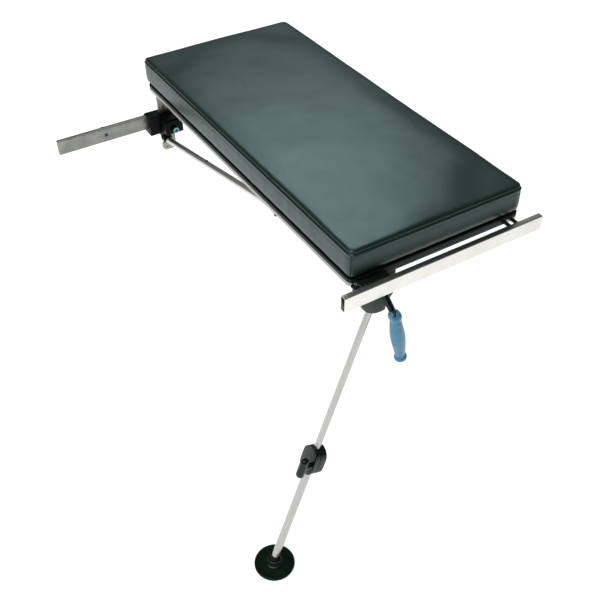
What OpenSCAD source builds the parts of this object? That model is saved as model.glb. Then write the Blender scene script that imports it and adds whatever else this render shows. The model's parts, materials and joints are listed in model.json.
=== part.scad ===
// Padded arm board for an operating table: a rail clamp with a blade, a framed board on a
// diagonal brace, an accessory rail at the outer end, and a telescopic leg with a swivel foot.
// X runs outward from the table, Z is up, and the long sides face -Y and +Y.
// The origin is midway between the two screws of the table rail, on the plane of the table's side.

/* [Pad] */
// Length of the pad
pad_l = 700; // [640:5:760]
// Width of the pad
pad_w = 312; // [300:2:340]
// Thickness of the pad
pad_h = 48.5; // [40:0.5:70]
// Corner radius of the pad
pad_r = 14; // [8:1:20]

/* [Board] */
// Width of the support board
board_w = 310; // [298:2:320]
// Thickness of the black support board
board_h = 6; // [5:0.5:9]
// How far the board stops short of the pad at the table end
board_inset = 9; // [9:1:12]
// Thickness of the steel frame under the board
strip_h = 6; // [5:0.5:8]
// Width of the frame's bars
strip_w = 25; // [20:1:30]

/* [Rails] */
// Length of the end rail
end_rail_l = 360; // [330:5:420]
// Height of the end rail, a standard size
end_rail_h = 25; // [25:0.5:28]
// Thickness of the end rail, a standard size
end_rail_t = 10; // [8:0.5:10]
// Open gap between the board and the end rail, for accessory clamps
end_gap = 15; // [14:0.5:18]
// Length of the table rail
table_rail_l = 303; // [290:1:360]
// Height of the table rail, a standard size
table_rail_h = 28.6; // [25:0.1:28.6]
// Thickness of the table rail, a standard size
table_rail_t = 9.5; // [9.5:0.1:10]
// Distance between the table rail's two screw holes
hole_spacing = 170; // [150:5:190]
// Radius of the table rail's screw holes
hole_r = 2.8; // [2.6:0.1:4.3]

/* [Height] */
// Underside of the board frame above the middle of the table rail
board_z = 80; // [76:1:100]
// Length of the blade that hangs below the frame
blade_l = 148; // [140:1:170]
// Width of the blade
blade_w = 28; // [24:1:30]

/* [Leg] */
// Tilt of the leg away from upright
leg_tilt = 19.4; // [0:0.1:24]
// Distance from the leg's pivot to the middle of the foot's ball
leg_l = 577; // [540:1:620]
// Distance from the pivot to the middle of the telescope clamp
clamp_l = 336; // [300:1:345]
// Radius of the inner leg rod
rod_r = 5.5; // [5:0.5:5.5]
// Outer radius of the leg tube
tube_r = 7; // [7:0.1:8]
// Diameter of the foot
foot_d = 72; // [60:1:90]

/* [Lever] */
// Drop from the pivot to the eye of the lever's grip
lever_drop = 32.5; // [28:0.5:36]
// Turn of the lever away from hanging straight down
lever_turn = 10.8; // [0:0.1:20]
// Length of the lever's grip below its eye
grip_l = 95; // [85:1:110]

/* [Hidden] */
$fn = 64;

gap = 0.3;           // clearance between pieces that move past each other
fit = 0.05;          // radial clearance of a running fit
m4 = 2;              // radii of the two sizes of screw
m5 = 2.5;
standoff_l = 12;     // table's side to the back of the table rail
standoff_r = 8;
rail_front = standoff_l + table_rail_t;
pad_x = rail_front + 8;    // table end of the pad
pad_y = 162;               // middle of the pad

board_end = pad_l - 1;     // outer end of the board, from the pad's table end
board_top = strip_h + board_h;
tape_h = 0.6;
pad_z = board_top + 2 * tape_h + gap;
end_rail_x = board_end + end_gap;
end_rail_top = 9.5;

blade_t = 6;
blade_y = -136 - pad_w / 2 + 156;      // the blade's edge nearest the -Y side
blade_back = rail_front + gap - pad_x;
blade_front = blade_back + blade_t;
bolt_r = 4;
screw_y = pad_y + blade_y + blade_w / 2;
screw_z = -4;

brace_y = blade_y + 5;
brace_r = 6.25;
brace_start = [6.5, -117];        // the brace's two pins, X and Z
brace_end = [462, -18];
brace_slope = atan2(brace_end[1] - brace_start[1], brace_end[0] - brace_start[0]);
brace_len = norm(brace_end - brace_start);
brace_bore = 4.5;
tube_start = 16;         // from either pin to the end of the brace's tube
eye_r = 7;
eye_w = 8;
ear_t = 3.5;             // thickness of the lug's two ears
pin_r = 3;
rivet_x = 196;
rivet_r = 1.4;

pivot = [board_end - 1, -104.7, -22];
cheek_r = 38;
block_w = 57;            // the bracket's block, under the board
block_z = -13;
cheek_t = 4;
fork_w = 13.6;
pivot_r = 5;
hub_r = 16;
head_pin_z = -12;
hub_x = fork_w / 2;

clamp_w = 35;
clamp_h = 54;
clamp_near = -9.5;
clamp_far = 12.5;
knob_x = 11;
knob_z = -clamp_l - 3;     // height of the knob's stud along the leg
knob_r = 7.2;
knob_h = 40;
stud_r = 3;
ball_r = 8;
tube_end = 10;           // middle of the ball to the lower end of the leg tube
sleeve_r = tube_r - 0.9;
slider_bore = 4.5;
lever_head_r = 8;
lever_head_x = hub_x + cheek_t + gap;
arm_r = 5.2;
arm_x0 = lever_head_x + 2;
arm_x1 = 35;
arm_slope = atan2(lever_drop, arm_x1 - arm_x0);
grip_eye_r = 10.7;
grip_profile = [[0, 0], [9, 0], [9.1, -0.12], [10.4, -0.25], [11.6, -0.43], [11, -0.6],
    [9.2, -0.78], [7.6, -0.91], [9.6, -0.94], [10, -1], [0, -1]];
foot_y = -(leg_l * sin(leg_tilt));
foot_z = -(leg_l * cos(leg_tilt));
disc_top = -9.7;        // top of the foot's disc, from the middle of the ball
disc_h = 5;
sole_h = 2;

// Frames of reference

module at_board() { translate([pad_x, pad_y, board_z]) children(); }
module at_pivot() { at_board() translate(pivot) children(); }
module at_leg() { at_pivot() rotate([-leg_tilt, 0, 0]) children(); }
module at_lever() { at_pivot() rotate([lever_turn, 0, 0]) children(); }
module at_foot() { at_pivot() translate([0, foot_y, foot_z]) children(); }
module at_brace() {
    at_board() translate([brace_start[0], brace_y, brace_start[1]])
        rotate([0, -brace_slope, 0]) children();
}

// Shapes that repeat

// Plate with round vertical corners, from x0 along +X and centred on Y
module rounded_plate(x0, l, w, h, r) {
    translate([x0 + r, -w / 2, 0]) cube([l - 2 * r, w, h]);
    translate([x0, -w / 2 + r, 0]) cube([l, w - 2 * r, h]);
    for (x = [x0 + r, x0 + l - r], y = [-w / 2 + r, w / 2 - r])
        translate([x, y, 0]) cylinder(r = r, h = h);
}

// Cylinders along X and along Y
module rod_x(r, x0, x1) { translate([x0, 0, 0]) rotate([0, 90, 0]) cylinder(r = r, h = x1 - x0); }
module rod_y(r, y0, y1) { translate([0, y0, 0]) rotate([-90, 0, 0]) cylinder(r = r, h = y1 - y0); }

// Bar along Y with chamfered long edges
module bar_y(x0, t, h, y0, l, c) {
    translate([x0, y0 + l, 0]) rotate([90, 0, 0]) linear_extrude(l)
        polygon([[c, -h / 2], [t - c, -h / 2], [t, -h / 2 + c], [t, h / 2 - c],
            [t - c, h / 2], [c, h / 2], [0, h / 2 - c], [0, -h / 2 + c]]);
}

// Screw that points along +Z with its round head below z = 0
module screw(r, l, head_r, head_h) {
    cylinder(r = r, h = l);
    difference() {
        translate([0, 0, -head_h]) cylinder(r = head_r, h = head_h);
        translate([0, 0, -head_h - 1]) cylinder(r = head_r * 0.55, h = head_h * 0.6 + 1, $fn = 6);
    }
}

module screw_hole(r = m5) { cylinder(r = r, h = 30, center = true); }

// Table rail

module hole_places() {
    for (y = [-hole_spacing / 2, hole_spacing / 2]) translate([0, y, 0]) children();
}

module table_rail() color("silver") difference() {
    bar_y(standoff_l, table_rail_t, table_rail_h, -181, table_rail_l, 1.2);
    hole_places() rod_x(hole_r, standoff_l - 1, rail_front + 1);
    hole_places() translate([rail_front - 1, 0, 0]) rotate([0, 90, 0])
        cylinder(r1 = hole_r, r2 = hole_r + 1.1, h = 1.1);
}

module rail_standoffs() color("gainsboro") hole_places() difference() {
    rod_x(standoff_r, 0, standoff_l);
    rod_x(hole_r, -1, standoff_l + 1);
}

// Rail clamp

clamp_y0 = 1;             // ends of the clamp along the rail
clamp_y1 = 58;
clamp_step = 21;          // where the deep block begins
clamp_top = 17;
clamp_bottom = -24;
clamp_back = 6.5;
block_front = 66;
housing_front = 36;
shoe_r = 7;
shoe_x0 = pad_x + blade_front + gap;
shoe_x1 = shoe_x0 + 5;

module clamp_block(x1, y0, y1, c) {
    translate([0, y1, 0]) rotate([90, 0, 0]) linear_extrude(y1 - y0)
        polygon([[clamp_back, clamp_bottom], [x1 - c, clamp_bottom], [x1, clamp_bottom + c],
            [x1, clamp_top - c], [x1 - c, clamp_top], [clamp_back + 5, clamp_top],
            [clamp_back, clamp_top - 5]]);
}

module clamp_body() color("dimgray") difference() {
    union() {
        clamp_block(housing_front, clamp_y0, clamp_step, 2);
        clamp_block(block_front, clamp_step, clamp_y1, 3);
    }
    // channel for the table rail, with the lips that hold its back
    translate([standoff_l - gap, clamp_y0 - 1, -table_rail_h / 2 - gap])
        cube([table_rail_t + 2 * gap, clamp_y1 - clamp_y0 + 2, table_rail_h + 2 * gap]);
    translate([clamp_back - 1, clamp_y0 - 1, -9]) cube([10, clamp_y1 - clamp_y0 + 2, 18]);
    // slot for the blade
    translate([rail_front, pad_y + blade_y - gap, clamp_bottom - 1])
        cube([blade_t + 2 * gap, blade_w + 2 * gap, clamp_top - clamp_bottom + 2]);
    // pressure screw and its shoe
    translate([0, screw_y, screw_z]) rod_x(bolt_r + fit, shoe_x0 - 1, block_front + 1);
    translate([0, screw_y, screw_z]) rod_x(shoe_r + gap, shoe_x0 - 1, shoe_x1 + 3.5);
    // hollow under the front of the block
    translate([block_front - 4, 0, clamp_bottom - 8]) rod_y(20, clamp_step - 1, clamp_y1 + 1);
}

module clamp_shoe() color("goldenrod") translate([0, screw_y, screw_z]) difference() {
    rod_x(shoe_r, shoe_x0, shoe_x1);
    rod_x(2.5 + fit, shoe_x0 + 1.5, shoe_x1 + 1);
}

module clamp_screw() color("silver") translate([0, screw_y, screw_z]) difference() {
    union() {
        rod_x(2.5, shoe_x0 + 1.7, shoe_x1 + gap + 1);
        rod_x(bolt_r, shoe_x1 + gap, block_front + 1);
        rod_x(6, block_front + 0.5, block_front + 6.5);
    }
    translate([block_front + 3.5, 0, 0]) rotate([0, 90, 0]) cylinder(r = 3.5, h = 4, $fn = 6);
}

// Blade and the angle that joins it to the frame

module blade() color("lightgray") at_board() difference() {
    r = 7;
    translate([blade_back, blade_y, -blade_l]) {
        translate([0, 0, r]) cube([blade_t, blade_w, blade_l - r]);
        translate([0, r, 0]) cube([blade_t, blade_w - 2 * r, r]);
        for (y = [r, blade_w - r]) translate([0, y, r]) rod_x(r, 0, blade_t);
    }
    translate([0, blade_y + 9, -blade_l + 7]) rod_x(1.6, blade_back - 1, blade_front + 1);
    blade_screw_places() rod_x(m5, -blade_t - 1, 0);
}

module blade_screw_places() {
    for (y = [7, blade_w - 7]) translate([blade_front, blade_y + y, -10]) children();
}

module blade_bracket() color("dimgray") at_board() difference() {
    union() {
        translate([blade_front, blade_y, -18]) cube([4, 46, 18]);
        translate([blade_front, blade_y, -4]) cube([38, 46, 4]);
    }
    blade_screw_places() rod_x(m5, -1, 5);
    bracket_screw_places() screw_hole();
}

module bracket_screw_places() {
    for (y = [12, 34]) translate([board_inset + 13, blade_y + y, 0]) children();
}

module blade_screws() color("silver") at_board() {
    blade_screw_places() translate([4, 0, 0]) rotate([0, -90, 0]) screw(m5, blade_t + 4, 4.5, 2.5);
    bracket_screw_places() translate([0, 0, -4]) screw(m5, strip_h + 4, 4.5, 2.5);
}

// Diagonal brace

module brace_lug() color("darkslategray") at_board() difference() {
    ear_r = eye_r + 0.5;
    union() {
        for (y = [-eye_w / 2 - ear_t, eye_w / 2]) {
            translate([brace_start[0], brace_y, brace_start[1]]) rod_y(ear_r, y, y + ear_t);
            translate([blade_front, brace_y + y, brace_start[1] - ear_r])
                cube([brace_start[0] - blade_front, ear_t, 2 * ear_r]);
        }
        translate([blade_front, brace_y - eye_w / 2 - ear_t, brace_start[1] + ear_r])
            cube([14, eye_w + 2 * ear_t, 2.5]);
    }
    translate([brace_start[0], brace_y, brace_start[1]]) rod_y(pin_r, -20, 20);
}

module brace_tube() color("silver") at_brace() difference() {
    rod_x(brace_r, tube_start, brace_len - tube_start);
    rod_x(brace_bore, tube_start - 1, brace_len - tube_start + 1);
    translate([rivet_x, 0, 0]) cylinder(r = rivet_r, h = 2 * brace_r + 2, center = true);
}

module brace_eye() difference() {
    union() {
        rod_y(eye_r - 0.5, -eye_w / 2, eye_w / 2);
        rod_x(4, 0, tube_start);
        rod_x(brace_bore, tube_start, tube_start + 18);
    }
    rod_y(pin_r, -eye_w, eye_w);
}

module brace_eyes() color("darkslategray") at_brace() {
    brace_eye();
    translate([brace_len, 0, 0]) mirror([1, 0, 0]) brace_eye();
}

module brace_bolts() color("silver") at_board() {
    for (p = [[brace_start, eye_w / 2 + ear_t], [brace_end, eye_w / 2 + 5]])
        translate([p[0][0], brace_y, p[0][1]]) {
            rod_y(pin_r, -p[1], p[1]);
            rod_y(5, -p[1] - 3, -p[1]);
            translate([0, p[1], 0]) rotate([-90, 0, 0]) cylinder(r = 5.5, h = 4, $fn = 6);
        }
}

module brace_rivet() color("black") at_brace() translate([rivet_x, 0, 0]) {
    cylinder(r = rivet_r, h = 2 * brace_r + 2, center = true);
    difference() {
        cylinder(r = 2.4, h = 2 * brace_r + 2, center = true);
        rod_x(brace_r, -3, 3);
    }
}

module brace_bracket() color("dimgray") at_board() difference() {
    translate([brace_end[0], brace_y, 0]) {
        translate([-17, -19, -4]) cube([40, 28, 4]);
        for (y = [-eye_w / 2 - 5, eye_w / 2 + 1]) {
            translate([-9, y, brace_end[1]]) cube([18, 4, -brace_end[1] - 4]);
            translate([0, 0, brace_end[1]]) rod_y(9, y, y + 4);
        }
    }
    translate([brace_end[0], brace_y, brace_end[1]]) rod_y(pin_r, -20, 20);
    brace_screw_places() screw_hole();
}

module brace_screw_places() {
    for (x = [-12, 18]) translate([brace_end[0] + x, brace_y - 13, 0]) children();
}

// Board and frame

module frame_blank() { rounded_plate(board_inset, board_end - board_inset, board_w, strip_h, 10); }

module long_strip(side) {
    y0 = side > 0 ? board_w / 2 - strip_w : -board_w / 2;
    intersection() {
        frame_blank();
        translate([0, y0, 0]) cube([pad_l, strip_w, strip_h]);
    }
}

module front_strip() color("lightgray") at_board() difference() {
    long_strip(-1);
    bracket_screw_places() screw_hole();
    brace_screw_places() screw_hole();
    leg_screw_places() screw_hole();
    board_screw_places() screw_hole(m4);
    rail_screw_places() rod_x(m4, -strip_w - 1, 1);
}

module rear_strip() color("lightgray") at_board() difference() {
    long_strip(1);
    board_screw_places() screw_hole(m4);
    rail_screw_places() rod_x(m4, -strip_w - 1, 1);
}

module cross_bars() color("darkgray") at_board() difference() {
    for (x = [board_inset, pad_l / 2 - strip_w / 2, board_end - strip_w])
        translate([x, -board_w / 2 + strip_w, 0]) cube([strip_w, board_w - 2 * strip_w, strip_h]);
    bracket_screw_places() screw_hole();
    leg_screw_places() screw_hole();
    rail_screw_places() rod_x(m4, -strip_w - 1, 1);
}

module support_board() color("#1c1e1d") at_board() translate([0, 0, strip_h]) difference() {
    rounded_plate(board_inset, board_end - board_inset, board_w, board_h, 10);
    board_screw_places() screw_hole(m4);
    board_screw_places() translate([0, 0, board_h - 2.2]) cylinder(r1 = m4, r2 = 4.3, h = 2.3);
}

module board_screw_places() {
    for (x = [60, 210, 490, 640], s = [-1, 1])
        translate([x, s * (board_w / 2 - strip_w / 2), 0]) children();
}

module board_screws() color("silver") at_board() board_screw_places() {
    cylinder(r = m4, h = board_top - 2);
    translate([0, 0, board_top - 2.2]) cylinder(r1 = m4, r2 = 4.2, h = 2.2);
}

module tape(z) {
    for (s = [-1, 1]) translate([50, s * 90 - 25, z]) cube([pad_l - 100, 50, tape_h]);
}

module hook_tape() color("#202020") at_board() tape(board_top);

// End rail

module end_rail() color("gainsboro") at_board() difference() {
    translate([0, 0, end_rail_top - end_rail_h / 2])
        bar_y(end_rail_x, end_rail_t, end_rail_h, -end_rail_l / 2, end_rail_l, 0.8);
    rail_screw_places() rod_x(m4, end_gap - 1, end_gap + 7);
    leg_rail_screw_places() rod_x(m4, -1, 7);
}

module rail_screw_places() {
    for (y = [-151, -139, 127, 141]) translate([board_end, y, 3]) children();
}

module leg_rail_screw_places() {
    for (y = [-128, -101]) translate([end_rail_x, y, -5]) children();
}

module rail_sleeves() color("black") at_board() rail_screw_places() difference() {
    rod_x(3, 0, end_gap);
    rod_x(m4, -1, end_gap + 1);
}

module rail_screws() color("silver") at_board() rail_screw_places()
    rod_x(m4, -strip_w + 6, end_gap + 6);

// Bracket that the leg swings in

module cheek_outline() intersection() {
    circle(r = cheek_r);
    // cut back on the side of the lever, and flat where it meets the block
    top = block_z - pivot[2] + 1;
    polygon([[-cheek_r, -cheek_r], [6, -cheek_r], [10.5, -22], [19, -11.5],
        [block_w / 2, top], [-cheek_r, top]]);
}

module cheek(x) {
    translate([x, 0, 0]) rotate([90, 0, 90]) linear_extrude(cheek_t) cheek_outline();
}

module leg_bracket() color("darkslategray") at_board() difference() {
    union() {
        translate(pivot) cheek(hub_x);
        translate(pivot) cheek(-hub_x - cheek_t);
        translate([pivot[0] - hub_x - cheek_t, pivot[1] - block_w / 2, block_z])
            cube([hub_x + cheek_t + 1, block_w, -block_z]);
        translate([board_end, -135, block_z]) cube([end_gap, 41, 5 - block_z]);
    }
    translate(pivot) rod_x(pivot_r + fit, -hub_x - cheek_t - 1, hub_x + cheek_t + 1);
    translate(pivot) rod_x(hub_r + 1, -hub_x, hub_x);
    leg_screw_places() screw_hole();
    leg_rail_screw_places() rod_x(m4, -8.5, 1);
}

module leg_screw_places() {
    for (y = [-21, 21]) translate([board_end - 4, pivot[1] + y, 0]) children();
}

module leg_bracket_screws() color("silver") at_board() {
    leg_screw_places() translate([0, 0, block_z]) screw(m5, strip_h - block_z, 3.6, 2.2);
    brace_screw_places() translate([0, 0, -4]) screw(m5, 4 + strip_h, 4.5, 2.5);
    leg_rail_screw_places() rod_x(m4, -8, 6);
}

// Pad

module pad_cover() color("#243c38") at_board() translate([0, 0, pad_z]) difference() {
    rounded_plate(0, pad_l, pad_w, pad_h, pad_r);
    translate([0, 0, 1.5]) rounded_plate(1.5, pad_l - 3, pad_w - 3, pad_h - 3, pad_r - 1.5);
}

module pad_foam() color("khaki") at_board() translate([0, 0, pad_z + 10.5])
    rounded_plate(1.5, pad_l - 3, pad_w - 3, pad_h - 12, pad_r - 1.5);

module pad_base() color("burlywood") at_board() translate([0, 0, pad_z + 1.5])
    rounded_plate(1.5, pad_l - 3, pad_w - 3, 9, pad_r - 1.5);

module loop_tape() color("#303030") at_board() tape(pad_z - tape_h);

// Leg: the half that hangs from the pivot

module leg_head() color("gray") at_leg() difference() {
    rod_x(hub_r, -hub_x + gap, hub_x - gap);
    rod_x(pivot_r + fit, -hub_x, hub_x);
    translate([0, 0, -hub_r - 1]) cylinder(r = 4.5, h = hub_r - 8);
    translate([0, 0, head_pin_z]) rod_x(1.5, -hub_x, hub_x);
    translate([0, 0, -hub_r - 1.5]) cylinder(r = rod_r + 0.1, h = 3.5);
}

module leg_rod() color("silver") at_leg() difference() {
    union() {
        translate([0, 0, -clamp_l - 100]) cylinder(r = rod_r, h = clamp_l + 100 - hub_r + 2);
        translate([0, 0, -hub_r + 1]) cylinder(r = 4.5, h = hub_r - 10);
        translate([0, 0, -clamp_l - 115]) cylinder(r = slider_bore, h = 16);
    }
    translate([0, 0, head_pin_z]) rod_x(1.5, -hub_x, hub_x);
}

module head_pin() color("dimgray") at_leg() translate([0, 0, head_pin_z])
    rod_x(1.5, -hub_x + 0.5, hub_x - 0.5);

module rod_slider() color("white") at_leg() difference() {
    translate([0, 0, -clamp_l - 115]) cylinder(r = sleeve_r - fit, h = 15);
    translate([0, 0, -clamp_l - 116]) cylinder(r = slider_bore, h = 17);
}

// Lever that locks the leg's pivot

module pivot_screw() color("dimgray") at_lever() {
    rod_x(pivot_r, -hub_x - cheek_t - 3, lever_head_x);
    rod_x(lever_head_r, lever_head_x, lever_head_x + 4.5);
}

module along_arm() { rotate([0, arm_slope, 0]) children(); }
module at_eye() { translate([arm_x1, 0, -lever_drop]) children(); }

module lever_arm() color("#161616") at_lever() difference() {
    translate([arm_x0, 0, 0]) along_arm() rod_x(arm_r, 0, norm([arm_x1 - arm_x0, lever_drop]) + 3);
    rod_x(lever_head_r, 0, lever_head_x + 4.5);
    at_eye() rod_y(1.5, -20, 20);
}

module lever_grip() color("steelblue") at_lever() at_eye() difference() {
    union() {
        sphere(r = grip_eye_r);
        rotate_extrude() polygon([for (p = grip_profile) [p[0], p[1] * grip_l]]);
    }
    along_arm() rod_x(arm_r, -20, 3);
    rod_y(1.5, -20, 20);
}

module grip_pin() color("silver") at_lever() at_eye() rod_y(1.5, -9.5, 9.5);

// Leg: the half that telescopes

module leg_tube() color("silver") at_leg() difference() {
    translate([0, 0, -leg_l + tube_end])
        cylinder(r = tube_r, h = leg_l - tube_end - clamp_l + clamp_h / 2 - 5);
    translate([0, 0, -leg_l]) cylinder(r = sleeve_r, h = leg_l);
}

// Two half-circles joined by straight flanks
module clamp_outline() {
    square([clamp_w, clamp_h - clamp_w], center = true);
    for (s = [-1, 1]) translate([0, s * (clamp_h - clamp_w) / 2]) circle(r = clamp_w / 2);
}

module tube_clamp() color("#181a19") at_leg() translate([0, 0, -clamp_l]) difference() {
    translate([0, clamp_far, 0]) rotate([90, 0, 0])
        linear_extrude(clamp_far - clamp_near) clamp_outline();
    translate([0, 0, -clamp_h]) cylinder(r = tube_r, h = 1.5 * clamp_h - 5);
    cylinder(r = rod_r + gap, h = clamp_h);
    translate([tube_r - 1, -0.5, -clamp_h]) cube([20, 1, 2 * clamp_h]);
    translate([knob_x, 0, knob_z + clamp_l]) rod_y(stud_r + fit, -20, 20);
    translate([knob_x, clamp_far - 4, knob_z + clamp_l]) rotate([-90, 0, 0])
        cylinder(r = 5.6, h = 8, $fn = 6);
}

module tube_sleeve() color("white") at_leg() difference() {
    translate([0, 0, -clamp_l - 15]) cylinder(r = sleeve_r, h = clamp_h / 2 + 10);
    translate([0, 0, -clamp_l - 20]) cylinder(r = rod_r + fit, h = clamp_h);
}

module foot_stud() color("dimgray") at_leg() translate([0, 0, -leg_l]) {
    sphere(r = ball_r);
    cylinder(r = 3.5, h = tube_end + 1);
    translate([0, 0, tube_end]) cylinder(r = sleeve_r, h = 14);
}

// Knob of the telescope clamp

module knob_stud() color("silver") at_leg() translate([knob_x, 0, knob_z])
    rod_y(stud_r, clamp_near - 9, clamp_far - 0.5);

module knob_nut() color("silver") at_leg() translate([knob_x, 0, knob_z]) difference() {
    translate([0, clamp_far - 4, 0]) rotate([-90, 0, 0]) cylinder(r = 5.5, h = 4, $fn = 6);
    rod_y(stud_r + fit, -20, 20);
}

module t_knob() color("#1d211f") at_leg() translate([knob_x, clamp_near - 17, knob_z]) difference() {
    union() {
        cylinder(r = knob_r, h = knob_h - 2 * knob_r, center = true);
        for (s = [-1, 1]) translate([0, 0, s * (knob_h / 2 - knob_r)]) sphere(r = knob_r);
        rod_y(5.5, 0, 16.6);
    }
    rod_y(stud_r, 8, 20);
}

// Foot

module foot_hub() color("#1d211f") at_foot() difference() {
    rotate_extrude() polygon([[0, disc_top], [17, disc_top], [16.4, disc_top + 3],
        [13, disc_top + 6], [12.4, 2.8], [0, 2.8]]);
    sphere(r = ball_r + fit);
}

module foot_disc() color("#14231d") at_foot() translate([0, 0, disc_top]) rotate_extrude()
    polygon([[0, -disc_h], [foot_d / 2 - 1.5, -disc_h], [foot_d / 2, 1.2 - disc_h],
        [foot_d / 2 - 0.4, -1.8], [foot_d / 2 - 2.5, 0], [0, 0]]);

module foot_sole() color("black") at_foot() translate([0, 0, disc_top - disc_h - sole_h])
    cylinder(r = foot_d / 2 - 3, h = sole_h);

table_rail();
rail_standoffs();
clamp_body();
clamp_shoe();
clamp_screw();
blade();
blade_bracket();
blade_screws();
brace_lug();
brace_tube();
brace_eyes();
brace_bolts();
brace_rivet();
brace_bracket();
front_strip();
rear_strip();
cross_bars();
support_board();
board_screws();
hook_tape();
end_rail();
rail_sleeves();
rail_screws();
leg_bracket();
leg_bracket_screws();
pad_cover();
pad_foam();
pad_base();
loop_tape();
leg_head();
leg_rod();
head_pin();
rod_slider();
pivot_screw();
lever_arm();
lever_grip();
grip_pin();
leg_tube();
tube_clamp();
tube_sleeve();
foot_stud();
knob_stud();
knob_nut();
t_knob();
foot_hub();
foot_disc();
foot_sole();
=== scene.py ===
import json
import math

import bmesh
import bpy
from mathutils import Matrix, Quaternion, Vector, noise
from mathutils.bvhtree import BVHTree


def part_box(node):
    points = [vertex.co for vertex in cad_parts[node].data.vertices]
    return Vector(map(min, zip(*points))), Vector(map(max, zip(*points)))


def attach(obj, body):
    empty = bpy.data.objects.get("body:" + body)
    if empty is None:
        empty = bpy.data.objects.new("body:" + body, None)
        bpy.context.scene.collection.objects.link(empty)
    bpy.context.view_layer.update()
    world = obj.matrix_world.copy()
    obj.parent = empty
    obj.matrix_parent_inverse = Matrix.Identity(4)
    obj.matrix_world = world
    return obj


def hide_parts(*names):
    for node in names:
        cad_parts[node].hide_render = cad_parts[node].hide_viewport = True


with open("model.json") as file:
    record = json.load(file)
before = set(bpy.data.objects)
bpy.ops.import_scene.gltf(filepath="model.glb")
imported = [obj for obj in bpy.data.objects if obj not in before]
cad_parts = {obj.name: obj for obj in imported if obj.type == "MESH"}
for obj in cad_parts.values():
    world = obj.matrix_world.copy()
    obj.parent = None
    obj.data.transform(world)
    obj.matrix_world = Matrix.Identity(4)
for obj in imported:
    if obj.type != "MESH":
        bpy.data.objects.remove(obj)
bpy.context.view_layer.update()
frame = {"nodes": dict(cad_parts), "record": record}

# A padded arm board that clamps to the side rail of an operating table.
# X runs out from the table along the board, Z is up. Lengths are in metres.

scene = bpy.context.scene
mm = 0.001
legTilt = math.radians(19.4)
leverTurn = math.radians(10.8)
braceSlope = math.atan2(99, 455.5)
slotOf = {part["node"]: part["material_slot"] for part in frame["record"]["subparts"]}
bodyOf = {}
for body, members in frame["record"]["behaviour"]["bodies"].items():
    for member in members:
        bodyOf[member] = body


# Shader maths: a wire is one output socket, and arithmetic on it adds Math nodes

class Wire:
    def __init__(self, finish, socket):
        self.finish = finish
        self.socket = socket

    def maths(self, operation, first, second):
        return self.finish.node("ShaderNodeMath", {"operation": operation}, {0: first, 1: second})

    def __add__(self, other):
        return self.maths("ADD", self, other)

    def __sub__(self, other):
        return self.maths("SUBTRACT", self, other)

    def __mul__(self, other):
        return self.maths("MULTIPLY", self, other)


class Finish:
    def __init__(self, name, **fixed):
        self.material = bpy.data.materials.new(name)
        self.material.use_nodes = True
        self.tree = self.material.node_tree
        self.shader = self.tree.nodes["Principled BSDF"]
        for socket, value in fixed.items():
            self.shader.inputs[socket.replace("_", " ")].default_value = value
        self.place = self.node("ShaderNodeTexCoord", out="Object")

    def node(self, kind, settings=None, sockets=None, out=0):
        made = self.tree.nodes.new(kind)
        for key, value in (settings or {}).items():
            if key == "stops":
                for stop, (position, shade) in zip(made.color_ramp.elements, value):
                    stop.position = position
                    stop.color = (shade, shade, shade, 1)
            else:
                setattr(made, key, value)
        for key, value in (sockets or {}).items():
            if isinstance(value, Wire):
                self.tree.links.new(value.socket, made.inputs[key])
            else:
                made.inputs[key].default_value = value
        return Wire(self, made.outputs[out])

    # noise whose blobs are this big along each axis, after the axes are turned
    def grain(self, size, turn=(0, 0, 0), detail=3, rough=0.5):
        turned = self.node("ShaderNodeMapping", {"vector_type": "TEXTURE"},
                           {"Vector": self.place, "Rotation": turn, "Scale": size})
        return self.node("ShaderNodeTexNoise", None,
                         {"Vector": turned, "Scale": 1, "Detail": detail, "Roughness": rough})

    # 0 below the low value, 1 above the high one
    def step(self, value, low, high):
        return self.node("ShaderNodeValToRGB", {"stops": [(low, 0), (high, 1)]}, {"Fac": value})

    def mix(self, factor, first, second):
        return self.node("ShaderNodeMix", {"data_type": "RGBA"}, {0: factor, 6: first, 7: second}, out=2)

    def feed(self, socket, wire):
        self.tree.links.new(wire.socket, self.shader.inputs[socket])

    def bump(self, height, depth, strength=1):
        raised = self.node("ShaderNodeBump", None,
                           {"Height": height, "Distance": depth, "Strength": strength})
        self.feed("Normal", raised)


def tone(red, green, blue):
    return (red, green, blue, 1)


# Finishes

# steel with fine lines along one axis of the turned frame
def brushedSteel(name, along, turn, dark, light, roughness):
    f = Finish(name, Metallic=1)
    size = [0.0009, 0.0009, 0.0009]
    size[along] = 0.06
    lines = f.grain(size, turn, 4, 0.65)
    stains = f.grain([0.05, 0.05, 0.05], detail=5, rough=0.62)
    worn = f.step(stains, 0.42, 0.7)
    streaked = f.mix(lines, dark, light)
    f.feed("Base Color", f.mix(worn * 0.35, streaked, tone(0.6, 0.56, 0.5)))
    f.feed("Roughness", lines * 0.16 + stains * 0.12 + (roughness - 0.14))
    f.bump(lines, 0.00006, 0.6)
    return f.material


def polishedPlate(name):
    f = Finish(name, Metallic=1)
    smears = f.grain([0.012, 0.012, 0.012], detail=4)
    f.feed("Base Color", f.mix(smears, tone(0.62, 0.63, 0.64), tone(0.78, 0.79, 0.8)))
    f.feed("Roughness", smears * 0.14 + 0.05)
    f.bump(f.grain([0.004, 0.004, 0.004]), 0.00003, 0.5)
    return f.material


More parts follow.
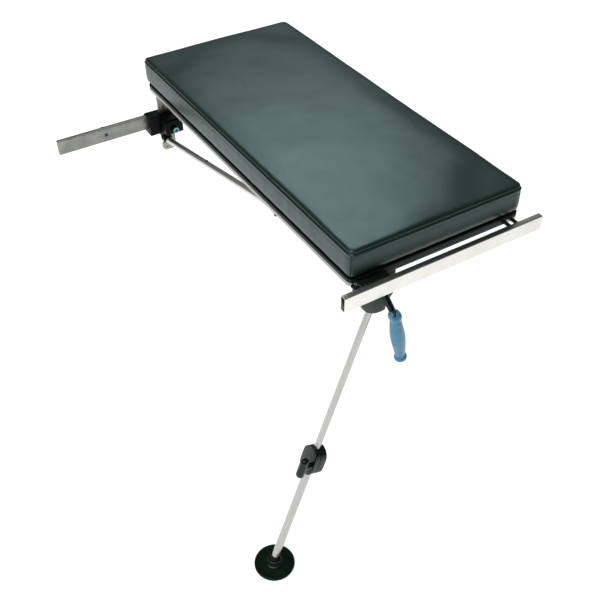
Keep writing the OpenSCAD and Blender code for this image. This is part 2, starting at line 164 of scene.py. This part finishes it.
# paint with scuffs; above a given height, if one is given, it turns nearly black as painted shade for
# where the part sits in shadow
def paint(name, colour, roughness, scuffed, sheen, paintedShadeAbove=None):
    f = Finish(name, Specular_IOR_Level=sheen)
    peel = f.grain([0.0016, 0.0016, 0.0016], detail=2)
    wear = f.step(f.grain([0.009, 0.009, 0.009], detail=6, rough=0.7), 0.55, 0.8)
    deep = tone(*[0.7 * c for c in colour])
    scuffs = tone(*[min(1, 2.2 * c + 0.012) for c in colour])
    toned = f.mix(f.grain([0.03, 0.03, 0.03]), deep, tone(*colour))
    coated = f.mix(wear * scuffed, toned, scuffs)
    # painted shade: above this height the coat is mixed to near black, standing in for the shadow under
    # the board
    if paintedShadeAbove:
        height = f.node("ShaderNodeSeparateXYZ", None, {"Vector": f.place}, out=2)
        coated = f.mix(f.step((height - paintedShadeAbove) * 200, 0, 1), coated, tone(0.006, 0.008, 0.006))
    f.feed("Base Color", coated)
    f.feed("Roughness", wear * 0.18 + peel * 0.08 + (roughness - 0.04))
    f.bump(peel, 0.00008, 0.5)
    return f.material


def moulding(name, colour, roughness, speckle=0.0005, sheen=0.4):
    f = Finish(name, Specular_IOR_Level=sheen, Specular_Tint=tone(0.75, 1, 0.88))
    flow = f.grain([0.02, 0.02, 0.008], detail=2)
    texture = f.grain([speckle, speckle, speckle], detail=1)
    dust = f.step(f.grain([0.006, 0.006, 0.006], detail=6, rough=0.75), 0.56, 0.85)
    toned = f.mix(flow, tone(*[0.72 * c for c in colour]), tone(*[1.15 * c for c in colour]))
    f.feed("Base Color", f.mix(dust * 0.3, toned, tone(*[min(1, 1.6 * c + 0.02) for c in colour])))
    f.feed("Roughness", dust * 0.2 + texture * 0.06 + (roughness - 0.03))
    f.bump(texture, 0.00004, 0.5)
    return f.material


def vinyl(name):
    f = Finish(name, Specular_IOR_Level=0.6, Specular_Tint=tone(0.68, 0.98, 0.98))
    pores = f.node("ShaderNodeTexVoronoi", {"feature": "F1"}, {
        "Vector": f.place, "Scale": 900, "Randomness": 1.0})
    creases = f.grain([0.0035, 0.0035, 0.0035], detail=4, rough=0.6)
    drift = f.grain([0.09, 0.09, 0.05], detail=3)
    toned = f.mix(drift, tone(0.0035, 0.0145, 0.0075), tone(0.006, 0.022, 0.012))
    f.feed("Base Color", f.mix(f.step(pores, 0.1, 0.55) * 0.4, toned, tone(0.0025, 0.009, 0.006)))
    f.feed("Roughness", creases * 0.1 + drift * 0.06 + 0.26)
    f.bump(pores * 0.5 + creases, 0.00016, 0.55)
    return f.material


def clothTape(name):
    f = Finish(name, Roughness=0.95, Specular_IOR_Level=0.2)
    loops = f.grain([0.0007, 0.0007, 0.0007], detail=4, rough=0.8)
    f.feed("Base Color", f.mix(loops, tone(0.008, 0.008, 0.008), tone(0.05, 0.05, 0.052)))
    f.bump(loops, 0.0005)
    return f.material


def thread(name):
    f = Finish(name, Roughness=0.6)
    twist = f.node("ShaderNodeTexWave", {"bands_direction": "DIAGONAL"}, {
        "Vector": f.place, "Scale": 600, "Distortion": 1.5})
    f.feed("Base Color", f.mix(twist, tone(0.01, 0.02, 0.017), tone(0.035, 0.055, 0.05)))
    f.bump(twist, 0.0001)
    return f.material


def plainBrass(name):
    f = Finish(name, Metallic=1)
    marks = f.grain([0.004, 0.004, 0.004], detail=5)
    f.feed("Base Color", f.mix(marks, tone(0.45, 0.33, 0.14), tone(0.66, 0.5, 0.24)))
    f.feed("Roughness", marks * 0.25 + 0.2)
    return f.material


# each steel: axis of its lines, turn, dark tone, light tone, roughness
along, across, up = 0, 1, 2
straight = (0, 0, 0)
legTurn = (-legTilt, 0, 0)
braceTurn = (0, -braceSlope, 0)
steelLooks = {
    "steelAcross": (across, straight, tone(0.66, 0.645, 0.61), tone(0.88, 0.87, 0.83), 0.27),
    "stripSteel": (along, straight, tone(0.25, 0.255, 0.24), tone(0.4, 0.41, 0.39), 0.34),
    # the table rail's steel is darkened as painted shade, for its reflection of the shadowed floor under
    # the pad
    "tableSteel": (across, straight, tone(0.17, 0.18, 0.165), tone(0.27, 0.28, 0.26), 0.4),
    "bladeSteel": (up, straight, tone(0.17, 0.175, 0.15), tone(0.28, 0.285, 0.25), 0.4),
    "braceSteel": (along, braceTurn, tone(0.58, 0.58, 0.57), tone(0.76, 0.76, 0.75), 0.36),
    "zincPlate": (up, straight, tone(0.1, 0.17, 0.19), tone(0.3, 0.4, 0.42), 0.3),
    "satinTube": (up, legTurn, tone(0.34, 0.34, 0.33), tone(0.56, 0.56, 0.55), 0.24),
}
steels = {name: brushedSteel(name, *look) for name, look in steelLooks.items()}
steelOf = {
    "front_strip": "stripSteel", "rear_strip": "stripSteel", "clamp_screw": "zincPlate",
    "blade": "bladeSteel", "blade_bracket": "bladeSteel", "table_rail": "tableSteel",
    "brace_tube": "braceSteel",
}
finishes = {
    "rail_steel": steels["steelAcross"],
    "plated_steel": polishedPlate("platedSteel"),
    "satin_tube": steels["satinTube"],
    "black_casting": paint("blackCasting", (0.0022, 0.003, 0.0026), 0.36, 0.3, 0.08),
    "black_plate": paint("blackPlate", (0.008, 0.0095, 0.009), 0.42, 0.25, 0.25),
    # this paint's part above 64 mm is painted near black as shade under the board
    "bracket_paint": paint("bracketPaint", (0.065, 0.085, 0.065), 0.5, 0.2, 0.35, 64 * mm),
    "black_board": moulding("blackBoard", (0.006, 0.007, 0.007), 0.5, 0.0012, 0.25),
    "black_moulding": moulding("blackMoulding", (0.004, 0.0065, 0.0055), 0.22),
    "dark_green_moulding": moulding("darkGreenMoulding", (0.0025, 0.0125, 0.006), 0.34, 0.0005, 0.22),
    "blue_grip": moulding("blueGrip", (0.085, 0.27, 0.44), 0.28, 0.0005, 0.5),
    "pad_vinyl": vinyl("padVinyl"),
    "tape": clothTape("clothTape"),
    "white_bush": moulding("whiteBush", (0.62, 0.62, 0.59), 0.4),
    "brass": plainBrass("turnedBrass"),
    "rubber": moulding("soleRubber", (0.013, 0.014, 0.014), 0.7, 0.0009),
}
threadFinish = thread("seamThread")
print("finishes made:", len(finishes))


# Making and placing pieces

def camel(name):
    words = name.split("_")
    return words[0] + "".join(word.capitalize() for word in words[1:])


# turns a finished bmesh into a piece that rides on a body, in place of the CAD nodes named
def piece(name, shape, body, slot, finish, *nodes):
    mesh = bpy.data.meshes.new(name)
    shape.to_mesh(mesh)
    shape.free()
    made = bpy.data.objects.new(name, mesh)
    scene.collection.objects.link(made)
    mesh.materials.append(finish)
    for polygon in mesh.polygons:
        polygon.use_smooth = True
    if nodes:
        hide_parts(*nodes)
    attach(made, body)
    return made


def finishOf(node):
    if node in steelOf:
        return steels[steelOf[node]]
    return finishes.get(slotOf[node], finishes["tape"])


# the CAD node again, with its sharp edges broken
def softened(node, width):
    shape = bmesh.new()
    shape.from_mesh(frame["nodes"][node].data)
    bmesh.ops.remove_doubles(shape, verts=shape.verts, dist=0.002 * mm)
    bmesh.ops.dissolve_limit(shape, angle_limit=math.radians(1), verts=shape.verts, edges=shape.edges)
    made = piece(camel(node), shape, bodyOf[node], slotOf[node], finishOf(node), node)
    rounding = made.modifiers.new("edges", "BEVEL")
    rounding.width = width
    rounding.segments = 3 if width > 0.7 * mm else 2
    rounding.limit_method = "ANGLE"
    rounding.angle_limit = math.radians(30)
    rounding.harden_normals = True


# a profile of (radius, height) points in mm, turned a full round about the Z axis
def turned(profile, steps):
    shape = bmesh.new()
    outline = [shape.verts.new((radius * mm, 0, height * mm)) for radius, height in profile]
    edges = [shape.edges.new(pair) for pair in zip(outline, outline[1:])]
    bmesh.ops.spin(shape, geom=outline + edges, axis=(0, 0, 1), cent=(0, 0, 0), steps=steps,
                   angle=math.tau, use_merge=True)
    bmesh.ops.remove_doubles(shape, verts=shape.verts, dist=0.01 * mm)
    bmesh.ops.recalc_face_normals(shape, faces=shape.faces)
    return shape


for node, made in frame["nodes"].items():
    made.data.materials.clear()
    made.data.materials.append(finishOf(node))
print("finishes put on", len(frame["nodes"]), "CAD nodes")


# Edges that the real pieces have broken, moulded or worn round

edgeWidths = {
    "table_rail": 0.4, "rail_standoffs": 0.5, "clamp_body": 1.0, "blade": 0.7, "blade_bracket": 0.6,
    "brace_lug": 0.8, "brace_bracket": 0.6, "front_strip": 0.5, "rear_strip": 0.5,
    "cross_bars": 0.5, "support_board": 1.0, "end_rail": 0.35, "leg_bracket": 0.9,
    "tube_clamp": 2.6, "clamp_shoe": 0.4, "leg_head": 0.6, "pivot_screw": 0.5,
}
for node, width in edgeWidths.items():
    softened(node, width * mm)
print("edges softened:", len(edgeWidths))


# The cushion: foam on a stiff base in a sewn cover, with a boxed side and a seam round its top

cushion = {
    "inset": 0.7 * mm,        # of the blank, inside the cover's final size
    "swell": 2.4 * mm,        # how far the foam may push the cover out
    "cornerRadius": 10 * mm,
    "stiffCorner": 90 * mm,   # the cover's folded corners do not swell this far in
    "baseWrap": 7 * mm,       # the cover is held on the base up to this height
    "seamBand": 2.6 * mm,     # and nearly held this close to the seam
    "seamHold": 0.9,
    "topRound": 5 * mm,
    "footRound": 3 * mm,
    "voxel": 5 * mm,
    "pressure": 3,
    "frames": 20,
    "evening": 24,            # passes that even out the swelling between neighbours
    "seamDrop": 5.5 * mm,     # from the top down to the seam
    "seamDepth": 1.4 * mm,
    "rollOut": 0.9 * mm,
    "seamLoops": (-8.5, -6.5, -5, -3.8, -2.9, -2.1, -1.4, -0.8, -0.3, 0.3, 0.9, 1.6, 2.6),   # mm
    "cornerLoops": (-3.2, -2.2, -1.3, -0.6, 0, 0.6, 1.3, 2.2, 3.2),   # mm to either side
    "cornerGroove": 1.1 * mm,
    "cornerWelt": 0.45 * mm,
    "ripple": (14, 0.4 * mm),        # waves per metre, and height
    "fineRipple": (45, 0.09 * mm),
    "pucker": 0.25 * mm,
    "sideways": 0.35,         # a normal with this much level part belongs to the boxed side
    "stitch": 4.2 * mm,       # from one stitch to the next
    "stitchShare": 0.72,      # of that, what shows as thread
    "stitchDrop": 4.4 * mm,   # of the level row, from the seam
    "rowOffset": 2.3 * mm,    # of the upright rows, to either side of a corner
    "rowDrop": 6.5 * mm,
    "rowLoss": 14 * mm,       # of the boxed side, without upright stitches
    "fill": 0.85,
}


def cushionBlank(low, high):
    c = cushion
    shape = bmesh.new()
    bmesh.ops.create_cube(shape, size=1)
    inner = high - low - Vector((2, 2, 2)) * c["inset"]
    middle = (low + high) / 2
    bmesh.ops.scale(shape, vec=inner, verts=shape.verts)
    bmesh.ops.translate(shape, vec=middle, verts=shape.verts)
    upright = [e for e in shape.edges if abs((e.verts[0].co - e.verts[1].co).z) > inner.z / 2]
    bmesh.ops.bevel(shape, geom=upright, offset=c["cornerRadius"], segments=7, profile=0.5,
                    affect="EDGES", material=-1)
    for side, offset in ((1, c["topRound"]), (-1, c["footRound"])):
        rim = [e for e in shape.edges
               if all((v.co.z - middle.z) * side > inner.z * 0.49 for v in e.verts)]
        bmesh.ops.bevel(shape, geom=rim, offset=offset, segments=4, profile=0.5,
                        affect="EDGES", material=-1)
    return shape


def evaluated(made):
    graph = bpy.context.evaluated_depsgraph_get()
    return bpy.data.meshes.new_from_object(made.evaluated_get(graph))


# swells the cover with the foam's push, holding it at the seam and where it wraps the base
def inflate(made, seamHeight, footHeight, corners):
    before = [v.co.copy() for v in made.data.vertices]
    held = made.vertex_groups.new(name="held")
    for v in made.data.vertices:
        away = min((v.co - corner).to_2d().length for corner, _ in corners) / cushion["stiffCorner"]
        hold = max(0, min(1, 1.6 - 1.6 * away))
        if v.co.z < footHeight + cushion["baseWrap"]:
            hold = 1
        elif abs(v.co.z - seamHeight) < cushion["seamBand"]:
            hold = max(hold, cushion["seamHold"])
        if hold > 0:
            held.add([v.index], hold, "REPLACE")
    cloth = made.modifiers.new("swell", "CLOTH")
    cloth.settings.vertex_group_mass = "held"
    cloth.settings.use_pressure = True
    cloth.settings.uniform_pressure_force = cushion["pressure"]
    cloth.settings.effector_weights.gravity = 0
    cloth.point_cache.frame_start = 1
    cloth.point_cache.frame_end = cushion["frames"]
    for moment in range(1, cushion["frames"] + 1):
        scene.frame_set(moment)
    swollen = evaluated(made)
    scene.frame_set(1)
    made.modifiers.remove(cloth)
    made.vertex_groups.clear()
    moves = [limited(v.co - old, cushion["swell"]) for v, old in zip(swollen.vertices, before)]
    for v, old, moved in zip(swollen.vertices, before, evened(swollen, moves)):
        v.co = old + moved
    made.data = swollen


def limited(moved, most):
    return moved if moved.length < most else moved.normalized() * most


# shares each vertex's move with its neighbours, again and again
def evened(mesh, moves):
    neighbours = [[] for _ in moves]
    for edge in mesh.edges:
        first, second = edge.vertices
        neighbours[first].append(second)
        neighbours[second].append(first)
    for _ in range(cushion["evening"]):
        moves = [(moves[n] + sum((moves[m] for m in near), Vector())) / (len(near) + 1)
                 for n, near in enumerate(neighbours)]
    return moves


# a smooth bump, 1 at the middle and nearly 0 two widths away
def bell(place, middle, width):
    return math.exp(-((place - middle) / width) ** 2)


# how far a point at this height above the seam stands out or is drawn in
def seamProfile(height):
    pulled = -cushion["seamDepth"] * bell(height, 0, 1.1 * mm)
    rolled = cushion["rollOut"] * bell(height, -2.6 * mm, 1.5 * mm)
    tucked = -0.5 * mm * bell(height, -6.5 * mm, 2.2 * mm)
    return pulled + rolled + tucked


# how far a corner seam draws the cover in, at this distance to its side
def cornerProfile(side):
    return (cushion["cornerGroove"] * bell(side, 0, 0.8 * mm)
            - cushion["cornerWelt"] * bell(abs(side), 2.2 * mm, 1.0 * mm))


def cutLoops(shape, faces, place, direction):
    edges = {e for f in faces for e in f.edges}
    verts = {v for f in faces for v in f.verts}
    geometry = faces + list(edges) + list(verts)
    bmesh.ops.bisect_plane(shape, geom=geometry, dist=0.02 * mm, plane_co=place, plane_no=direction)


def cushionCorners(low, high):
    r = cushion["cornerRadius"]
    return [(Vector((x, y, 0)), Vector((sx, sy, 0)).normalized())
            for x, sx in ((low.x + r, -1), (high.x - r, 1))
            for y, sy in ((low.y + r, -1), (high.y - r, 1))]


def cutSeamLoops(shape, corners, seamHeight):
    for lift in cushion["seamLoops"]:
        height = seamHeight + lift * mm
        near = [f for f in shape.faces if abs(f.calc_center_median().z - height) < 6 * mm]
        cutLoops(shape, near, (0, 0, height), (0, 0, 1))
    for centre, out in corners:
        across = Vector((-out.y, out.x, 0))
        for shift in cushion["cornerLoops"]:
            near = [f for f in shape.faces
                    if (f.calc_center_median() - centre).to_2d().length < 26 * mm
                    and (f.calc_center_median() - centre).dot(out) > 6 * mm
                    and f.calc_center_median().z < seamHeight]
            cutLoops(shape, near, centre + across * shift * mm, across)


# how the seams, ripples and puckers move one vertex of the cover
def sewnOffset(v, corners, seamHeight, footHeight):
    level = Vector((v.normal.x, v.normal.y, 0))
    onSide = level.length > cushion["sideways"]
    height = v.co.z - seamHeight
    offset = Vector()
    if onSide and -10 * mm < height < 6 * mm:
        offset += level.normalized() * seamProfile(height)
    for centre, out in corners:
        away = v.co - centre
        side = away.dot(Vector((-out.y, out.x, 0)))
        if away.dot(out) > 6 * mm and abs(side) < 5 * mm and height < 0 and onSide:
            fade = min(1, -height / (4 * mm)) * min(1, (v.co.z - footHeight) / (6 * mm))
            offset -= out * cornerProfile(side) * fade
    if v.co.z > footHeight + 8 * mm:
        for waves, tallness in (cushion["ripple"], cushion["fineRipple"]):
            offset += v.normal * noise.noise(v.co * waves) * tallness
    if onSide and height < -3 * mm:
        pucker = noise.noise(Vector((v.co.x * 70, v.co.y * 70, v.co.z * 14)))
        offset += level.normalized() * pucker * cushion["pucker"]
    return offset


def sewCover(made, low, high, seamHeight):
    shape = bmesh.new()
    shape.from_mesh(made.data)
    corners = cushionCorners(low, high)
    cutSeamLoops(shape, corners, seamHeight)
    shape.normal_update()
    offsets = [(v, sewnOffset(v, corners, seamHeight, low.z)) for v in shape.verts]
    for v, offset in offsets:
        v.co += offset
    shape.normal_update()
    shape.to_mesh(made.data)
    return shape


def outward(angle):
    return Vector((math.cos(angle), math.sin(angle), 0))


# points along the side of the cushion at one height, with the direction outwards
def sidePath(low, high, gap):
    r = cushion["cornerRadius"]
    left, right, front, back = low.x + r, high.x - r, low.y + r, high.y - r
    centres = [Vector((right, back, 0)), Vector((left, back, 0)), Vector((left, front, 0)),
               Vector((right, front, 0))]
    turns = max(2, round(r * math.pi / 2 / gap))
    points = []
    for index, centre in enumerate(centres):
        start = index * math.pi / 2
        for turn in range(turns):
            out = outward(start + turn / turns * math.pi / 2)
            points.append((centre + out * r, out))
        out = outward(start + math.pi / 2)
        first = centre + out * r
        run = centres[(index + 1) % 4] + out * r - first
        count = max(1, round(run.length / gap))
        points += [(first + run * n / count, out) for n in range(count)]
    return points


def addStitch(shape, place, direction, out, length):
    side = direction.cross(out)
    turn = Matrix((direction, side, out)).transposed().to_4x4()
    made = bmesh.ops.create_icosphere(shape, subdivisions=1, radius=1)["verts"]
    bmesh.ops.scale(shape, vec=(length / 2, 0.34 * mm, 0.28 * mm), verts=made)
    bmesh.ops.transform(shape, matrix=Matrix.Translation(place) @ turn, verts=made)


# a stitch where a line from outside meets the cover, laid level or upright
def stitchAt(shape, surface, start, out, level):
    upward = Vector((0, 0, 1))
    hit, normal, _, _ = surface.ray_cast(start, -out)
    if not hit:
        return 0
    flat = normal.cross(upward).normalized()
    direction = flat if level else normal.cross(flat).normalized()
    addStitch(shape, hit, direction, normal, cushion["stitch"] * cushion["stitchShare"])
    return 1


def stitchRows(surface, low, high, seamHeight):
    shape = bmesh.new()
    gap = cushion["stitch"]
    count = 0
    for point, out in sidePath(low, high, gap):
        start = point + out * 20 * mm + Vector((0, 0, seamHeight - cushion["stitchDrop"]))
        count += stitchAt(shape, surface, start, out, True)
    rows = int((seamHeight - low.z - cushion["rowLoss"]) / gap)
    for centre, out in cushionCorners(low, high):
        across = Vector((-out.y, out.x, 0))
        for side in (-cushion["rowOffset"], cushion["rowOffset"]):
            for row in range(rows):
                height = seamHeight - cushion["rowDrop"] - row * gap
                start = centre + across * side + out * 50 * mm + Vector((0, 0, height))
                count += stitchAt(shape, surface, start, out, False)
    print("stitches:", count)
    return shape


def makeCushion():
    low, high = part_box("pad_cover")
    seamHeight = high.z - cushion["seamDrop"]
    made = piece("cushion", cushionBlank(low, high), "pad", "pad_vinyl", finishes["pad_vinyl"],
                 "pad_cover", "pad_foam", "pad_base")
    even = made.modifiers.new("even", "REMESH")
    even.mode = "VOXEL"
    even.voxel_size = cushion["voxel"]
    made.data = evaluated(made)
    made.modifiers.remove(even)
    inflate(made, seamHeight, low.z, cushionCorners(low, high))
    finer = made.modifiers.new("finer", "SUBSURF")
    finer.levels = 1
    finer.render_levels = 1
    made.data = evaluated(made)
    made.modifiers.remove(finer)
    sewn = sewCover(made, low, high, seamHeight)
    surface = BVHTree.FromBMesh(sewn)
    sewn.free()
    for polygon in made.data.polygons:
        polygon.use_smooth = True
    made.data.materials.clear()
    made.data.materials.append(finishes["pad_vinyl"])
    rows = stitchRows(surface, low, high, seamHeight)
    piece("cushionStitches", rows, "pad", "pad_vinyl", threadFinish)
    print("cushion sewn, faces:", len(made.data.polygons))


makeCushion()


# Blue grip of the lever, hung on its eye

grip = {
    "length": 95,             # mm
    "outline": [              # radius in mm, share of the length
        (9, 0.13), (9.8, 0.2), (10.8, 0.3), (11.5, 0.4), (11.6, 0.47), (11.2, 0.56), (10.4, 0.66),
        (9.4, 0.76), (8.3, 0.85), (7.6, 0.905), (7.6, 0.925), (8.8, 0.935), (9.7, 0.943),
        (9.9, 0.952), (9.9, 0.985), (9.2, 1), (0, 1)],
    "eyeRadius": 10.7 * mm,
    "eyeFlat": 8.2 * mm,
    "flutes": 8,
    "fluteDepth": 0.05,
    "ridges": 26,
    "ridgeDepth": 0.3 * mm,
    "tongue": ((-1, -1, 10), (6.5, -5, 5)),   # ends of the latch on the eye, from its middle, in mm
}


# how much of its radius a point of the grip keeps, at this share of the length and this angle
def gripScale(depth, radius, angle):
    share = max(0, min(1, (depth - 0.13) / 0.12)) * max(0, min(1, (0.93 - depth) / 0.1))
    scale = 1 - grip["fluteDepth"] * share * (1 - math.cos(grip["flutes"] * angle)) / 2
    if 0.94 < depth < 0.99 and radius > 8 * mm:
        scale -= grip["ridgeDepth"] / radius * (1 - math.cos(grip["ridges"] * angle)) / 2
    return scale


def makeGrip(centre):
    n = grip["length"]
    handle = [(0, -3), (8, -3), (8.5, -9)] + [(radius, -depth * n) for radius, depth in grip["outline"]]
    shape = turned(handle, 4 * grip["ridges"])
    for v in shape.verts:
        scale = gripScale(-v.co.z / (n * mm), v.co.to_2d().length, math.atan2(v.co.y, v.co.x))
        v.co.x *= scale
        v.co.y *= scale
    ball = bmesh.ops.create_uvsphere(shape, u_segments=40, v_segments=20, radius=grip["eyeRadius"])
    eye = ball["verts"]
    bmesh.ops.rotate(shape, verts=eye, cent=(0, 0, 0), matrix=Matrix.Rotation(math.pi / 2, 3, "X"))
    for v in eye:
        v.co.y = max(-grip["eyeFlat"], min(grip["eyeFlat"], v.co.y))
    place = Matrix.Translation(centre) @ Matrix.Rotation(leverTurn, 4, "X")
    bmesh.ops.transform(shape, matrix=place, verts=shape.verts)
    piece("blueGrip", shape, "lever", "blue_grip", finishes["blue_grip"], "lever_grip")
    print("grip made")


# the latch that reaches from the arm over the grip's eye
def makeTongue(centre):
    start, end = [centre + Vector(corner) * mm for corner in grip["tongue"]]
    shape = bmesh.new()
    bmesh.ops.create_cone(shape, cap_ends=True, segments=24, radius1=3.4 * mm, radius2=2.2 * mm,
                          depth=(end - start).length)
    rim = [e for e in shape.edges if len(e.link_faces[0].verts) != len(e.link_faces[1].verts)]
    bmesh.ops.bevel(shape, geom=rim, offset=0.7 * mm, segments=3, profile=0.5, affect="EDGES",
                    material=-1)
    lay = (end - start).to_track_quat("Z", "Y").to_matrix().to_4x4()
    bmesh.ops.transform(shape, matrix=Matrix.Translation((start + end) / 2) @ lay, verts=shape.verts)
    piece("gripTongue", shape, "lever", "black_moulding", finishes["black_moulding"])
    print("latch made")


pinLow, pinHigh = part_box("grip_pin")
eyeMiddle = (pinLow + pinHigh) / 2
makeGrip(eyeMiddle)
makeTongue(eyeMiddle)


# Foot: a dished disc with a stepped hub

foot = {
    "ballPocket": 8.3,        # radius in mm
    "ballMiddle": 9.7,        # above the disc, in mm
    "rings": 64,
}


def makeDisc(r, t, place):
    shape = turned([
        (0, -t), (r - 1.6, -t), (r - 0.4, -t + 0.6), (r, -t + 1.6), (r - 0.1, -1.9), (r - 0.7, -0.7),
        (r - 1.9, -0.2), (r - 3.2, -0.5), (r - 4.2, -0.9), (22, -0.5), (19, 0), (0, 0)], foot["rings"])
    bmesh.ops.translate(shape, verts=shape.verts, vec=place)
    piece("footDisc", shape, "foot", "dark_green_moulding", finishes["dark_green_moulding"], "foot_disc")


def makeHub(h, place):
    mouth = math.sqrt(foot["ballPocket"] ** 2 - (h - foot["ballMiddle"]) ** 2)
    shape = turned([
        (0, 0), (16.4, 0), (16.6, 0.8), (15.8, 2.2), (14.2, 2.8), (13.2, 3), (12.8, 3.5), (12.6, 6.4),
        (12.2, 7), (11.7, 7.2), (11.5, 7.7), (11.5, h - 1), (10.8, h), (mouth + 0.6, h),
        (mouth, h - 0.5), (mouth - 0.6, h - 4), (0, h - 4)], foot["rings"])
    bmesh.ops.translate(shape, verts=shape.verts, vec=place)
    piece("footHub", shape, "foot", "black_moulding", finishes["black_moulding"], "foot_hub")


def makeFoot():
    low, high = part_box("foot_disc")
    hubLow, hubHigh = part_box("foot_hub")
    place = Vector(((low.x + high.x) / 2, (low.y + high.y) / 2, high.z))
    makeDisc((high.x - low.x) / 2 / mm, (high.z - low.z) / mm, place)
    makeHub((hubHigh.z - hubLow.z) / mm, place)
    print("foot made")


makeFoot()


# Thin dark plates on both ends of the end rail, inset from its edges

railEnd = {"border": 1.3 * mm, "thickness": 0.4 * mm}


def makeRailEnds():
    low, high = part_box("end_rail")
    size = high - low - Vector((2, 0, 2)) * railEnd["border"]
    size.y = railEnd["thickness"]
    shape = bmesh.new()
    for y, side in ((low.y, -1), (high.y, 1)):
        plate = bmesh.ops.create_cube(shape, size=1)["verts"]
        bmesh.ops.scale(shape, vec=size, verts=plate)
        place = Vector(((low.x + high.x) / 2, y + side * railEnd["thickness"] / 2, (low.z + high.z) / 2))
        bmesh.ops.translate(shape, vec=place, verts=plate)
    piece("railEnds", shape, "board", "black_plate", finishes["black_plate"])
    print("rail ends inlaid")


makeRailEnds()


# Stage: floor, lights and camera

stage = {"floorSize": 14, "world": 0.16, "floorGlow": 0.75}
lamps = {
    "keyLight": {"place": (-1.35, 1.2, 2.0), "target": (0.35, 0.15, 0.1), "size": (1.1, 1),
                 "power": 17.5, "colour": (0.84, 0.96, 1)},
    "topLight": {"place": (0.9, -1.4, 2.8), "target": (0.4, 0.1, 0), "size": (2.6, 2.6),
                 "power": 60, "colour": (1, 1, 1)},
}
cameraView = {
    "place": (1.4639, -0.5124, 0.8550),
    "target": (0.5637, 0.0242, -0.0733),
    "roll": math.radians(-0.88),
    "lens": 51.15,
}


def floorFinish():
    f = Finish("paleFloor", Roughness=0.75, Emission_Strength=stage["floorGlow"])
    f.shader.inputs["Emission Color"].default_value = tone(1, 1, 1)
    f.feed("Base Color", f.mix(f.grain([0.7, 0.7, 0.7]), tone(0.84, 0.84, 0.84), tone(0.88, 0.88, 0.88)))
    return f.material


def makeFloor():
    shape = bmesh.new()
    bmesh.ops.create_grid(shape, x_segments=2, y_segments=2, size=stage["floorSize"] / 2)
    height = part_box("foot_sole")[0].z
    bmesh.ops.translate(shape, verts=shape.verts, vec=(0, 0, height))
    mesh = bpy.data.meshes.new("floor")
    shape.to_mesh(mesh)
    shape.free()
    floor = bpy.data.objects.new("floor", mesh)
    scene.collection.objects.link(floor)
    mesh.materials.append(floorFinish())


# turns something's -Z axis from its place to its target
def aimed(look):
    return (Vector(look["target"]) - Vector(look["place"])).to_track_quat("-Z", "Y")


def softbox(name, look):
    lamp = bpy.data.lights.new(name, "AREA")
    lamp.shape = "RECTANGLE"
    lamp.size, lamp.size_y = look["size"]
    lamp.energy = look["power"]
    lamp.color = look["colour"]
    holder = bpy.data.objects.new(name, lamp)
    holder.location = look["place"]
    holder.rotation_euler = aimed(look).to_euler()
    scene.collection.objects.link(holder)


def makeCamera():
    view = cameraView
    lens = bpy.data.cameras.new("camera")
    lens.lens = view["lens"]
    lens.sensor_width = 36
    lens.clip_start = 0.01
    camera = bpy.data.objects.new("camera", lens)
    camera.rotation_mode = "QUATERNION"
    camera.rotation_quaternion = aimed(view) @ Quaternion((0, 0, 1), view["roll"])
    camera.location = view["place"]
    scene.collection.objects.link(camera)
    scene.camera = camera


def makeWorld():
    world = bpy.data.worlds.new("studio")
    world.use_nodes = True
    background = world.node_tree.nodes["Background"]
    background.inputs["Color"].default_value = tone(1, 1, 1)
    background.inputs["Strength"].default_value = stage["world"]
    scene.world = world


makeFloor()
makeWorld()
for name, look in lamps.items():
    softbox(name, look)
makeCamera()
scene.view_settings.view_transform = "Standard"
print("stage set")
